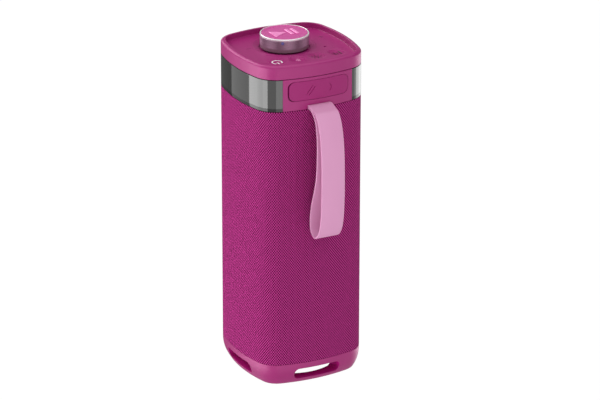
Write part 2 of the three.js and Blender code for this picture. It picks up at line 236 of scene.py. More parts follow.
def smooth(piece, angle):
    """Smooth shading that keeps edges sharper than angle, in degrees."""
    piece.data.polygons.foreach_set("use_smooth", [True] * len(piece.data.polygons))
    piece.data.set_sharp_from_angle(angle=math.radians(angle))


def finish_piece(piece, material, body, replaces=(), angle=32):
    """Shades a piece so that broad faces stay true beside their rounded edges, and rides it on its body."""
    smooth(piece, angle)
    change = piece.modifiers.new("broad faces lead", "WEIGHTED_NORMAL")
    change.keep_sharp = True
    evaluate(piece)
    piece.data.materials.clear()
    piece.data.materials.append(material)
    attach(piece, body)
    if replaces:
        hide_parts(*replaces)


def ribbon(name, points, width, lift, sink, place):
    """A mark along a polyline of (u, v) pairs, from sink below the surface to lift above it.

    place(u, v, height) gives a point. The mark's sides are upright to its shoulder and then lean in.
    """
    shoulder, crest_share = lift * 0.4, 0.75
    count = len(points)
    rings = []
    for i, (u, v) in enumerate(points):
        before, after = points[max(i - 1, 0)], points[min(i + 1, count - 1)]
        along = Vector((after[0] - before[0], after[1] - before[1])).normalized()
        side = Vector((-along.y, along.x)) * width / 2
        crest = side * crest_share
        corners = ((side, -sink), (side, shoulder), (crest, lift),
                   (-crest, lift), (-side, shoulder), (-side, -sink))
        rings.append([place(u + step.x, v + step.y, height) for step, height in corners])
    return skin(name, rings)


def arc(centre_u, centre_v, radius, start, end, steps):
    """Points of an arc between two angles in degrees, as (u, v) pairs."""
    angles = [math.radians(start + (end - start) * i / steps) for i in range(steps + 1)]
    return [(centre_u + radius * math.cos(a), centre_v + radius * math.sin(a)) for a in angles]


def merge(name, parts):
    """Joins separate closed marks into one piece."""
    points, faces = [], []
    for part in parts:
        start = len(points)
        points += [v.co.copy() for v in part.data.vertices]
        faces += [tuple(start + i for i in p.vertices) for p in part.data.polygons]
        bpy.data.objects.remove(part)
    return make(name, points, faces)


# ------------------------------------------------------------------ materials
def new_material(name):
    material = bpy.data.materials.new(name)
    material.use_nodes = True
    nodes = material.node_tree.nodes
    return material, nodes, material.node_tree.links, nodes["Principled BSDF"]


def noise(nodes, links, scale, detail=3.0, stretch=None):
    """A noise texture in object coordinates, which are the frame's own, in metres."""
    texture = nodes.new("ShaderNodeTexNoise")
    texture.inputs["Scale"].default_value = scale
    texture.inputs["Detail"].default_value = detail
    place = nodes.new("ShaderNodeTexCoord")
    source = place.outputs["Object"]
    if stretch:
        mapping = nodes.new("ShaderNodeMapping")
        mapping.inputs["Scale"].default_value = stretch
        links.new(source, mapping.inputs["Vector"])
        source = mapping.outputs["Vector"]
    links.new(source, texture.inputs["Vector"])
    return texture.outputs["Fac"]


def between(nodes, links, source, low=0, high=1, start=0, end=1, eased=False):
    """Maps a value that runs from start to end onto low to high."""
    spread = nodes.new("ShaderNodeMapRange")
    if eased:
        spread.interpolation_type = "SMOOTHSTEP"
    spread.inputs["From Min"].default_value = start
    spread.inputs["From Max"].default_value = end
    spread.inputs["To Min"].default_value = low
    spread.inputs["To Max"].default_value = high
    links.new(source, spread.inputs["Value"])
    return spread.outputs["Result"]


def calculate(nodes, links, operation, *operands):
    """A math node. Each operand is a socket or a number."""
    node = nodes.new("ShaderNodeMath")
    node.operation = operation
    for socket, value in zip(node.inputs, operands):
        if isinstance(value, (int, float)):
            socket.default_value = value
        else:
            links.new(value, socket)
    return node.outputs["Value"]


def blend_colours(nodes, links, factor, first, second):
    """Mixes two colours. The second may be a socket."""
    mix = nodes.new("ShaderNodeMix")
    mix.data_type = "RGBA"
    mix.inputs["A"].default_value = (*first, 1)
    if isinstance(second, bpy.types.NodeSocket):
        links.new(second, mix.inputs["B"])
    else:
        mix.inputs["B"].default_value = (*second, 1)
    links.new(factor, mix.inputs["Factor"])
    return mix.outputs["Result"]


def bump(nodes, links, shader, height, distance, strength=1.0):
    relief = nodes.new("ShaderNodeBump")
    relief.inputs["Strength"].default_value = strength
    relief.inputs["Distance"].default_value = distance
    links.new(height, relief.inputs["Height"])
    links.new(relief.outputs["Normal"], shader.inputs["Normal"])


def moulded(name, colour, roughness=0.42, metallic=0.0, spread=0.06, grain=0.02 * MM, tone=0.06,
            coat=0.0, gloss=0.5, tint=(1, 1, 1)):
    """Moulded plastic or rubber: fine spark grain, patchy roughness and slight tone changes."""
    material, nodes, links, shader = new_material(name)
    cloud = noise(nodes, links, 45, 4)
    dark = [c * (1 - tone) for c in colour]
    light = [min(c * (1 + tone), 1) for c in colour]
    links.new(blend_colours(nodes, links, cloud, dark, light), shader.inputs["Base Color"])
    patches = noise(nodes, links, 160, 5)
    links.new(between(nodes, links, patches, roughness - spread, roughness + spread),
              shader.inputs["Roughness"])
    shader.inputs["Metallic"].default_value = metallic
    shader.inputs["Specular IOR Level"].default_value = gloss
    shader.inputs["Specular Tint"].default_value = (*tint, 1)
    if coat:
        shader.inputs["Coat Weight"].default_value = coat
        shader.inputs["Coat Roughness"].default_value = 0.12
    if grain:
        bump(nodes, links, shader, noise(nodes, links, 2600, 2), grain, 0.6)
    return material


def metal(name, colour, roughness=0.3, stretch=(1, 1, 1), scale=900, spread=0.08, metallic=1.0):
    """Metal with fine brushing: the noise is stretched along the brushing."""
    material, nodes, links, shader = new_material(name)
    streaks = noise(nodes, links, scale, 4, stretch)
    dark = [c * 0.85 for c in colour]
    links.new(blend_colours(nodes, links, streaks, dark, colour), shader.inputs["Base Color"])
    links.new(between(nodes, links, streaks, roughness - spread, roughness + spread),
              shader.inputs["Roughness"])
    shader.inputs["Metallic"].default_value = metallic
    bump(nodes, links, shader, streaks, 0.01 * MM, 0.4)
    return material


def knit(name, light, dark, across_cell, up_cell):
    """Basket-woven acoustic cloth. The UV map holds millimetres round the tower and up it."""
    material, nodes, links, shader = new_material(name)
    place = nodes.new("ShaderNodeUVMap")
    place.uv_map = "weave"
    split = nodes.new("ShaderNodeSeparateXYZ")
    links.new(place.outputs["UV"], split.inputs["Vector"])
    waves = []
    for axis, cell in (("X", across_cell), ("Y", up_cell)):
        phase = calculate(nodes, links, "MULTIPLY", split.outputs[axis], math.pi / cell)
        waves.append(calculate(nodes, links, "COSINE", phase))
    checks = calculate(nodes, links, "MULTIPLY", *waves)
    contrast, fibre_depth = 1.6, 0.04
    thread = calculate(nodes, links, "MULTIPLY_ADD", checks, contrast, 0.5)
    fibres = nodes.new("ShaderNodeTexNoise")
    fibres.inputs["Scale"].default_value = 2.4
    fibres.inputs["Detail"].default_value = 4
    links.new(place.outputs["UV"], fibres.inputs["Vector"])
    fuzz = between(nodes, links, fibres.outputs["Fac"], -fibre_depth, fibre_depth)
    height = calculate(nodes, links, "ADD", thread, fuzz)
    # The check pattern is the cloth's own, but its colours are partly painted light: the light colour is a
    # painted highlight on the thread tops, and the near-black one is painted shade in the gaps.
    links.new(blend_colours(nodes, links, height, dark, light), shader.inputs["Base Color"])
    shader.inputs["Roughness"].default_value = 0.9
    shader.inputs["Specular IOR Level"].default_value = 0.02
    shader.inputs["Sheen Weight"].default_value = 0.01
    shader.inputs["Sheen Roughness"].default_value = 0.5
    shader.inputs["Sheen Tint"].default_value = (1.0, 0.6, 0.85, 1)
    bump(nodes, links, shader, thread, 0.25 * MM, 0.6)
    return material


def smoked(name, colour, ior):
    """Deep smoky polycarbonate: polished, with very faint flow marks."""
    material, nodes, links, shader = new_material(name)
    cloud = noise(nodes, links, 60, 3, (1, 1, 0.2))
    darker = [c * 0.8 for c in colour]
    links.new(blend_colours(nodes, links, cloud, darker, colour), shader.inputs["Base Color"])
    links.new(between(nodes, links, cloud, 0.03, 0.06), shader.inputs["Roughness"])
    shader.inputs["IOR"].default_value = ior
    return material


def knob_side(name, light, shade, low_shade, shade_line_z, fade, metallic):
    """Metallised side of the knob: upright streaks of painted reflection, fine level brushing, and a band
    of painted shade low down.
    """
    material, nodes, links, shader = new_material(name)
    place = nodes.new("ShaderNodeTexCoord")
    split = nodes.new("ShaderNodeSeparateXYZ")
    links.new(place.outputs["Object"], split.inputs["Vector"])
    away = calculate(nodes, links, "SUBTRACT", split.outputs["Y"], KNOB_Y)
    around = calculate(nodes, links, "ARCTAN2", away, split.outputs["X"])
    # The upright streaks are painted reflection, alternating the light and shade colours round the side.
    streaks_round, first_streak = 8, 2.2
    turns = calculate(nodes, links, "MULTIPLY_ADD", around, streaks_round, first_streak)
    wave = calculate(nodes, links, "COSINE", turns)
    reflection_streak = between(nodes, links, wave, start=-1)
    body = blend_colours(nodes, links, reflection_streak, shade, light)
    # Below the split height the side fades to the darker colour: painted shade low down on the knob.
    level = between(nodes, links, split.outputs["Z"], start=shade_line_z - fade, end=shade_line_z + fade, eased=True)
    links.new(blend_colours(nodes, links, level, low_shade, body), shader.inputs["Base Color"])
    brushing = noise(nodes, links, 300, 4, (1, 1, 14))
    links.new(between(nodes, links, brushing, 0.2, 0.38), shader.inputs["Roughness"])
    shader.inputs["Metallic"].default_value = metallic
    bump(nodes, links, shader, brushing, 0.005 * MM, 0.3)
    return material


PINK_GLOSS = (1, 0.75, 0.9)
magenta = moulded("magenta plastic", (0.345, 0.008, 0.15), 0.4, metallic=0.1, gloss=0.75,
                  tint=PINK_GLOSS)
# A lighter, glossless copy of the magenta plastic: painted light for the shaded walls of the slots and the
# opening.
lit_slot_magenta = moulded("lit slot magenta", (0.45, 0.012, 0.21), 0.8, gloss=0.02)
key_plastic = moulded("key plastic", (0.34, 0.008, 0.147), 0.42, metallic=0.1, tint=PINK_GLOSS)
mark_plastic = moulded("key marks", (0.10, 0.002, 0.04), 0.55)
pale_mark = moulded("pale mark", (0.75, 0.3, 0.52), 0.4, tone=0.03)
white_mark = moulded("white mark", (0.82, 0.80, 0.82), 0.4, tone=0.03)
flap_rubber = moulded("flap rubber", (0.33, 0.008, 0.143), 0.45, metallic=0.06, grain=0.03 * MM,
                      tint=PINK_GLOSS)
silicone = moulded("pale silicone", (0.72, 0.325, 0.547), 0.5, grain=0.01 * MM, tone=0.025)
# Cloth colours: a painted highlight for the thread tops and painted shade for the gaps between them.
cloth = knit("woven cloth", (0.58, 0.052, 0.295), (0.055, 0.0003, 0.02), 0.79, 1.01)
black_plastic = moulded("black plastic", (0.02, 0.02, 0.022), 0.5)
black_rubber = moulded("black rubber", (0.018, 0.018, 0.018), 0.75, grain=0.04 * MM)
steel = metal("plated steel", (0.56, 0.56, 0.57), 0.3)
dark_metal = metal("dark plate", (0.12, 0.12, 0.13), 0.4, (1, 8, 1))
board = moulded("soldermask", (0.02, 0.11, 0.05), 0.35, coat=0.4)
cell_wrap = moulded("cell wrap", (0.03, 0.13, 0.33), 0.3, tone=0.1)
frosted = moulded("frosted guide", (0.35, 0.35, 0.35), 0.55, tone=0.04)
band_glass = smoked("smoky band", (0.022, 0.022, 0.021), 1.8)
band_foot = smoked("smoky band foot", (0.008, 0.008, 0.008), 1.5)
# Knob side colours: two for the painted reflection streaks, the third for the painted shade low down.
knob_metal = knob_side("knob side", (0.50, 0.40, 0.49), (0.28, 0.20, 0.26), (0.26, 0.18, 0.22),
                       shade_line_z=knob_low.z + 2.4 * MM, fade=0.5 * MM, metallic=0.35)
bright_edge = metal("bright edge", (1, 0.97, 0.98), 0.2, (1, 1, 6), metallic=0.4)
knob_pink = metal("knob face", (0.68, 0.09, 0.37), 0.35, scale=500, spread=0.05, metallic=0.15)
knob_mark = metal("knob mark", (1.0, 0.30, 0.66), 0.35, scale=500, spread=0.06, metallic=0.12)
lens_blue = moulded("indicator", (0.14, 0.15, 0.42), 0.35)


# ------------------------------------------------------------------ top cap, keys and knob
def key_place(name):
    return plan_middle(*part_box(f"{name}_button"))


def dish_height(distance, depth):
    """Height of a key's surface, and of the deck just round it, at a distance from its middle."""
    share = min(distance / DISH_RADIUS, 1)
    return DECK - depth * (1 - share * share) ** 1.3


def cap_levels():
    """The cap's profile as (inset, z), from the deck's underside round the rim to the deck."""
    wall = 2.4 * MM
    levels = [(wall, DECK_UNDER), (wall, cap_low.z), (0.3 * MM, cap_low.z),
              (0.08 * MM, cap_low.z + 0.09 * MM), (0, cap_low.z + 0.3 * MM)]
    round_width, round_height = 2.7 * MM, 1.7 * MM
    for cos, sin in sweep(math.pi / 2, 10):
        levels.append((round_width * (1 - cos), RIM_TOP - round_height * (1 - sin)))
    edge, edge_round = 2.75 * MM, 0.35 * MM
    for cos, sin in sweep(math.radians(70), 6):
        levels.append((edge + edge_round * sin, RIM_TOP - 0.03 * MM - edge_round * (1 - cos)))
    bottom, fillet = 3.4 * MM, 0.3 * MM
    for cos, sin in sweep(math.pi / 2, 4):
        levels.append((bottom + fillet * (1 - cos), DECK + fillet * (1 - sin)))
    return levels


def top_cap():
    cap = tower("cap", cap_levels())
    above, below = DECK + MM, DECK_UNDER - MM    # the cutters run on past the deck's two faces
    recess, pocket, shaft = 21.0 * MM, 16.5 * MM, 4 * MM
    cutters = [
        turned("recess", [(16.6 * MM, DECK - 1.0 * MM), (20.1 * MM, DECK - 0.1 * MM),
                          (20.6 * MM, DECK - 0.02 * MM), (recess, DECK + 0.03 * MM), (recess, above)],
               0, KNOB_Y, 96),
        turned("pocket", [(pocket, DECK - 1.8 * MM), (pocket, DECK - 1.1 * MM),
                          (16.7 * MM, DECK - 0.95 * MM), (16.7 * MM, above)], 0, KNOB_Y, 96),
        turned("shaft hole", [(shaft, below), (shaft, DECK)], 0, KNOB_Y),
    ]
    hole, skirt, steps = BUTTON_RADIUS + 0.07 * MM, DISH_RADIUS + 0.4 * MM, 5
    slope = [hole + (DISH_RADIUS - hole) * i / steps for i in range(steps + 1)]
    for name in BUTTONS:
        x, y = key_place(name)
        depth = POWER_DISH if name == "power" else BUTTON_DISH
        profile = [(hole, below), *((r, dish_height(r, depth)) for r in slope),
                   (skirt, DECK + 0.02 * MM), (skirt, above)]
        cutters.append(turned("key hole", profile, x, y, 72))
    low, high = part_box("microphone")
    mic = (low + high) / 2
    mic_hole = 0.9 * MM
    cutters.append(turned("mic hole", [(mic_hole, below), (mic_hole, DECK - 0.2 * MM),
                                       (1.1 * MM, DECK + 0.05 * MM)], mic.x, mic.y, 24))
    carve(cap, *cutters)
    finish_piece(cap, magenta, "housing", ["top_cap"], angle=28)


def key(name, depth):
    """A dished key on its stem, with the flange that keeps it under the deck."""
    x, y = key_place(name)
    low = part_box(f"{name}_button")[0]
    stem, flange = 2 * MM, 5.8 * MM
    flange_low, flange_top = DECK_UNDER - 1 * MM, DECK_UNDER - 0.3 * MM
    edge = dish_height(BUTTON_RADIUS, depth)
    profile = [(stem, low.z), (stem, flange_low), (flange, flange_low), (flange, flange_top),
               (BUTTON_RADIUS, flange_top), (BUTTON_RADIUS, edge - 0.1 * MM),
               (BUTTON_RADIUS - 0.03 * MM, edge - 0.02 * MM)]
    steps = 12
    for i in range(steps + 1):
        distance = (BUTTON_RADIUS - 0.1 * MM) * (1 - i / steps)
        profile.append((distance, dish_height(distance, depth)))
    piece = turned(f"key_{name}", profile, x, y, 72)
    finish_piece(piece, key_plastic, f"{name}_key", [f"{name}_button"], angle=35)


def key_mark(name, depth, lines, width, material, lift=0.05 * MM):
    """Fine raised lines on a key. lines are polylines in millimetres from its middle."""
    x, y = key_place(name)

    def place(u, v, height):
        return Vector((x + u, y + v, dish_height(math.hypot(u, v), depth) + height))

    parts = [ribbon("line", [(u * MM, v * MM) for u, v in line], width, lift, MARK_SINK, place)
             for line in lines]
    finish_piece(merge(f"mark_{name}", parts), material, f"{name}_key")


def keys():
    key("power", POWER_DISH)
    for name in BUTTONS[1:]:
        key(name, BUTTON_DISH)
    ring = arc(0, 0, 3.2, -55, 235, 40)
    key_mark("power", POWER_DISH, [ring, [(0, -0.4), (0, -3.7)]], 0.75 * MM, white_mark, 0.08 * MM)
    waves = [arc(-1.6, 0, r, -38, 38, 14) for r in (1.5, 2.5, 3.5)]
    key_mark("pairing", BUTTON_DISH, waves, 0.35 * MM, pale_mark)
    inner, outer = 2.5, 3.7
    rays = [[(inner * math.cos(a), inner * math.sin(a)), (outer * math.cos(a), outer * math.sin(a))]
            for a in (math.radians(45 * i) for i in range(8))]
    key_mark("light", BUTTON_DISH, [arc(0, 0, 1.5, 0, 355, 24), *rays], 0.6 * MM, mark_plastic)
    bars = [[(u, -h), (u, h)] for u, h in ((-2.7, 1.2), (-0.9, 2.5), (0.9, 1.7), (2.7, 3.0))]
    key_mark("mode", BUTTON_DISH, bars, 0.7 * MM, mark_plastic)


def deck_marks():
    """Small minus and plus on the deck, left and right of the knob."""
    def place(u, v, height):
        return Vector((u, v, DECK + height))

    y = KNOB_Y + 3.6 * MM
    left, right, reach = -24 * MM, 28 * MM, 1.6 * MM
    lines = [[(left - reach, y), (left + reach, y)],
             [(right - reach, y), (right + reach, y)],
             [(right, y - reach), (right, y + reach)]]
    parts = [ribbon("line", line, width=0.35 * MM, lift=0.06 * MM, sink=0.2 * MM, place=place)
             for line in lines]
    finish_piece(merge("volume_marks", parts), mark_plastic, "housing")


KNOB_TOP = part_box("knob_trim")[1].z
KNOB_FACE_RADIUS = 14.95 * MM
KNOB_FACE_EDGE = KNOB_TOP - 0.12 * MM         # the face starts just below the edge ring's top
KNOB_FACE_DISH = 0.36 * MM
KNOB_FACE = KNOB_FACE_EDGE - KNOB_FACE_DISH   # height of its level middle


def knob_body():
    low, high = knob_low.z, knob_high.z
    bore, seat, floor = 3.3 * MM, 13.9 * MM, high - 0.6 * MM
    side = [(bore, low), (KNOB_RADIUS - 0.5 * MM, low), (KNOB_RADIUS - 0.12 * MM, low + 0.12 * MM),
            (KNOB_RADIUS, low + 0.5 * MM), (KNOB_RADIUS, low + 4 * MM), (KNOB_RADIUS, high - 0.1 * MM),
            (KNOB_RADIUS - 0.1 * MM, high), (seat, high), (seat, floor), (bore, floor)]
    shell = turned("knob_side", side, 0, KNOB_Y, 128, closed=True)
    finish_piece(shell, knob_metal, "knob", ["knob_shell"], angle=35)


def knob_trim():
    inner, low = 13.95 * MM, knob_high.z + 0.05 * MM
    outer = KNOB_FACE_RADIUS + 0.1 * MM
    bevel = [(KNOB_RADIUS - 0.6 * MM + 0.55 * MM * cos, KNOB_TOP - 0.6 * MM + 0.6 * MM * sin)
             for cos, sin in sweep(math.pi / 2, 4)]
    edge = [(inner, low), (KNOB_RADIUS - 0.08 * MM, low),
            (KNOB_RADIUS - 0.03 * MM, knob_high.z + 0.2 * MM), *bevel,
            (KNOB_FACE_RADIUS + 0.25 * MM, KNOB_TOP), (outer, KNOB_TOP - 0.15 * MM),
            (outer, KNOB_TOP - 0.7 * MM), (inner, KNOB_TOP - 0.8 * MM)]
    trim = turned("knob_edge", edge, 0, KNOB_Y, 128, closed=True)
    finish_piece(trim, bright_edge, "knob", ["knob_trim"], angle=40)


def knob_disc():
    under = 13.7 * MM
    face = [(under, knob_high.z - 0.3 * MM), (under, KNOB_TOP - 0.7 * MM),
            (KNOB_FACE_RADIUS, KNOB_TOP - 0.6 * MM), (KNOB_FACE_RADIUS, KNOB_TOP - 0.25 * MM),
            (KNOB_FACE_RADIUS - 0.12 * MM, KNOB_TOP - 0.13 * MM)]
    slope, start, steps = 2.6 * MM, KNOB_FACE_RADIUS - 0.45 * MM, 8
    for i in range(steps + 1):
        fall = (1 - math.cos(math.pi * i / steps)) / 2
        face.append((start - slope * i / steps, KNOB_FACE_EDGE - KNOB_FACE_DISH * fall))
    face += [(6 * MM, KNOB_FACE), (0, KNOB_FACE)]
    disc = turned("knob_face", face, 0, KNOB_Y, 96)
    finish_piece(disc, knob_pink, "knob", ["knob_disc"], angle=40)


def knob_symbol():
    """A generic play/pause mark."""
    def place(u, v, height):
        return Vector((u, KNOB_Y + v, KNOB_FACE + height))

    lift = 0.35 * MM
    bars = [[(u * MM, -5.2 * MM), (u * MM, 5.2 * MM)] for u in (3.6, 7.4)]
    parts = [ribbon("line", line, 2.2 * MM, lift, MARK_SINK, place) for line in bars]
    triangle = [(-8.6 * MM, -5.6 * MM), (1.1 * MM, 0), (-8.6 * MM, 5.6 * MM)]
    middle = -5.4 * MM
    rings = [[place(middle + (u - middle) * share, v * share, height) for u, v in triangle]
             for share, height in ((1, -MARK_SINK), (1, 0.2 * MM), (0.94, lift))]
    parts.append(skin("triangle", rings))
    finish_piece(merge("knob_symbol", parts), knob_mark, "knob")


def knob_indicator():
    """A small lens in the knob's side, as rings of (radius, height) in millimetres."""
    facing, steps = math.radians(-121), 20
    outward = Vector((math.cos(facing), math.sin(facing), 0))
    centre = Vector((0, KNOB_Y, knob_high.z - 1.2 * MM)) + outward * KNOB_RADIUS
    across = Vector((-outward.y, outward.x, 0))
    upright = Vector((0, 0, 1))
    rings = []
    for radius, height in ((1.05, -0.4), (1.05, 0.0), (0.9, 0.05), (0.02, 0.06)):
        rings.append([centre + outward * height * MM
                      + (across * math.cos(a) + upright * math.sin(a)) * radius * MM
                      for a in (2 * math.pi * i / steps for i in range(steps))])
    finish_piece(skin("knob_indicator", rings), lens_blue, "knob")


top_cap()
keys()
deck_marks()
knob_body()
knob_trim()
knob_disc()
knob_symbol()
knob_indicator()


# ------------------------------------------------------------------ light band
PANEL_LEFT, PANEL_RIGHT = -24.6 * MM, 24.65 * MM
PANEL_GAP = 0.12 * MM         # between the port panel and the band's two ends


def open_wall(name, profile, left, right):
    """Sweeps a closed (inset, z) profile round the tower, open between left and right on the -Y side."""
    reference = outline(0, 0)
    gap = [left < p.x < right and p.y < AXIS_Y for p in reference]
    start = max(i for i, hidden in enumerate(gap) if hidden) + 1
    order = [(start + i) % len(gap) for i in range(len(gap)) if not gap[(start + i) % len(gap)]]
    lines = []
    for inset, z in profile:
        ring = outline(inset, z)
        lines.append([Vector((right, front_y(right, inset), z)), *(ring[i] for i in order),
                      Vector((left, front_y(left, inset), z))])
    return skin(name, [list(section) for section in zip(*lines)])


def light_band():
    low, high = band_low.z, band_high.z
    soft, back = 0.22 * MM, 4.6 * MM
    foot = low + 2.1 * MM     # below this line the band is darker
    shell = [(soft, low), (0.06 * MM, low + 0.06 * MM), (0, low + soft), (0, foot - 0.06 * MM),
             (0.04 * MM, foot), (0, foot + 0.06 * MM), (0, high - soft), (0.06 * MM, high - 0.06 * MM),
             (soft, high), (back, high), (back, low)]
    band = open_wall("smoky_band", shell, PANEL_LEFT - PANEL_GAP, PANEL_RIGHT + PANEL_GAP)
    finish_piece(band, band_glass, "housing", ["light_band", "light_diffuser"], angle=30)
    band.data.materials.append(band_foot)
    for polygon in band.data.polygons:
        polygon.material_index = 1 if polygon.center.z < foot else 0


light_band()


# ------------------------------------------------------------------ port panel and flap
FLAP_LEFT, FLAP_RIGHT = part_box("port_cover")[0].x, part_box("port_cover")[1].x
FLAP_LOW, FLAP_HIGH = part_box("port_cover")[0].z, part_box("port_cover")[1].z
FLAP_CORNER = 4 * MM


def grown(amount, left_more=0.0):
    """The flap's outline grown by amount, and by left_more at its left end."""
    return lozenge(FLAP_LEFT - amount - left_more, FLAP_RIGHT + amount, FLAP_LOW - amount,
                   FLAP_HIGH + amount, FLAP_CORNER + amount)


def port_panel():
    low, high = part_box("port_housing")[0].z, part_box("port_housing")[1].z
    soft, back, steps = 0.2 * MM, 6 * MM, 28
    xs = [PANEL_LEFT + (PANEL_RIGHT - PANEL_LEFT) * i / steps for i in range(steps + 1)]
    rings = []
    for depth, z in ((soft, low), (0.05 * MM, low + 0.05 * MM), (0, low + soft),
                     (0, high - soft), (0.05 * MM, high - 0.05 * MM), (soft, high)):
        rings.append([*(Vector((x, front_y(x) + depth, z)) for x in xs),
                      Vector((PANEL_RIGHT, front_y(PANEL_RIGHT) + back, z)),
                      Vector((PANEL_LEFT, front_y(PANEL_LEFT) + back, z))])
    panel = skin("port_panel", rings)
    wall_outer, wall_inner = 5.6 * MM, 8 * MM
    weld(panel, skin("core", [outline(wall_outer, z) for z in (low, high)]
                     + [outline(wall_inner, z) for z in (high, low)], closed=True))
    outside = at_depth(-3 * MM)      # where the cutters start, clear of the panel
    nail_gap = 0.75 * MM
    tight, eased, mouth = (grown(gap * MM, nail_gap) for gap in (0.12, 0.17, 0.26))
    pocket = slab("pocket", [(tight, at_depth(2.2 * MM)), (tight, at_depth(0.2 * MM)),
                             (eased, at_depth(0.06 * MM)), (mouth, at_depth(0)), (mouth, outside)])
    opening = lozenge(-13.3 * MM, 14.3 * MM, 199.9 * MM, 207 * MM, 1.2 * MM)
    hole = slab("sockets", [(opening, outside), (opening, at_depth(14 * MM))])
    half_slot = 8.4 * MM
    slot_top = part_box("strap_anchor")[1].z - 0.98 * MM    # just clear of the strap's upper face
    entry = lozenge(-half_slot, half_slot, low - 3 * MM, slot_top, 0.8 * MM)
    slot = slab("strap slot", [(entry, outside), (entry, at_depth(7.5 * MM))])
    carve(panel, pocket, hole, slot)
    finish_piece(panel, magenta, "housing", ["port_housing"], angle=30)


def port_flap():
    recess = 0.05 * MM
    flap = slab("flap", [(grown(-0.22 * MM), at_depth(recess)),
                         (grown(-0.06 * MM), at_depth(recess + 0.05 * MM)),
                         (grown(0), at_depth(recess + 0.2 * MM)), (grown(0), at_depth(1.7 * MM)),
                         (grown(-0.4 * MM), at_depth(1.9 * MM))])
    ridge = lozenge(-12.4 * MM, 13.4 * MM, 200.7 * MM, 206.2 * MM, MM)
    weld(flap, slab("plug", [(ridge, at_depth(1.2 * MM)), (ridge, at_depth(3.1 * MM))]))

    def place(u, v, height):
        return Vector((u, front_y(u) + recess - height, v))

    middle = (FLAP_LOW + FLAP_HIGH) / 2
    lines = [[(-9.0, -2.6), (-4.6, 3.2)], [(-7.4, -3.4), (-3.0, 2.2)], arc(5.2, 0, 3.2, -48, 48, 14)]
    grooves = [ribbon("groove", [(u * MM, middle + v * MM) for u, v in line],
                      width=0.6 * MM, lift=0.4 * MM, sink=0.35 * MM, place=place) for line in lines]
    carve(flap, *grooves)
    finish_piece(flap, flap_rubber, "port_flap", ["port_cover"], angle=30)


port_panel()
port_flap()


# ------------------------------------------------------------------ fabric sleeve
def fabric_sleeve():
    """The cloth sleeve. Its UV map runs on unbroken round the tower, in millimetres."""
    low, high = base_high.z + 0.02 * MM, sleeve_high.z
    thick, steps = 1.2 * MM, 24
    heights = [low + (high - low) * i / steps for i in range(1, steps)]
    levels = [(thick, low), (0.35 * MM, low), (0.1 * MM, low + 0.1 * MM)]
    levels += [(0, z) for z in (low + 0.4 * MM, *heights, high - 0.4 * MM)]
    levels += [(0.1 * MM, high - 0.1 * MM), (0.35 * MM, high), (thick, high)]
    rings = [outline(inset, z) for inset, z in levels]
    sleeve = skin("fabric", rings, closed=True)
    round_trip = outline(0, 0)
    count = len(round_trip)
    distance = [0.0]
    for i in range(count):
        distance.append(distance[-1] + (round_trip[(i + 1) % count] - round_trip[i]).length)
    layer = sleeve.data.uv_layers.new(name="weave")
    for polygon in sleeve.data.polygons:
        columns = [sleeve.data.loops[i].vertex_index % count for i in polygon.loop_indices]
        wraps = max(columns) - min(columns) > 1
        for i, column in zip(polygon.loop_indices, columns):
            vertex = sleeve.data.vertices[sleeve.data.loops[i].vertex_index]
            around = distance[count if wraps and column == 0 else column]
            layer.data[i].uv = (around / MM, vertex.co.z / MM)
    finish_piece(sleeve, cloth, "housing", ["fabric_sleeve"], angle=40)


fabric_sleeve()


# ------------------------------------------------------------------ base
BASE_CURVE = 23 * MM          # radius of the tucked-in lower edge
BASE_CURVE_TOP = 14 * MM
SLOT_HALF = 16.4 * MM
SLOT_CORNER = 3.3 * MM
BASE_OPENING = 30 * MM        # radius of the round opening underneath


def base_inset(z):
    if z >= BASE_CURVE_TOP:
        return 0.0
    return BASE_CURVE - math.sqrt(BASE_CURVE ** 2 - (BASE_CURVE_TOP - z) ** 2)


def slot_cutter(turn):
    """A sound slot: its mouth is eased to follow the base's surface, and its floor falls inwards."""
    low, high = 3.9 * MM, 11.3 * MM
    ease = 0.7 * MM

    def layer(grow, depth, drop=0.0):
        columns = lozenge(-SLOT_HALF - grow, SLOT_HALF + grow, low - drop - grow, high + grow,
                          SLOT_CORNER + grow)
        return columns, lambda x, z: front_y(x, base_inset(z)) + depth

    layers = [layer(ease, -4 * MM)]
    for cos, sin in sweep(math.pi / 2, 6):
        layers.append(layer(ease * (1 - sin), ease * (1 - cos) - 0.01 * MM))
    layers.append(layer(0, 4 * MM, drop=0.15 * MM))
    inner = lozenge(-SLOT_HALF, SLOT_HALF, low - 0.4 * MM, high, SLOT_CORNER)
    layers.append((inner, lambda x, z: AXIS_Y - 20 * MM))
    cutter = slab("slot", layers)
    centre = Matrix.Translation((0, AXIS_Y, 0))
    cutter.data.transform(centre @ Matrix.Rotation(turn, 4, "Z") @ centre.inverted())
    return cutter


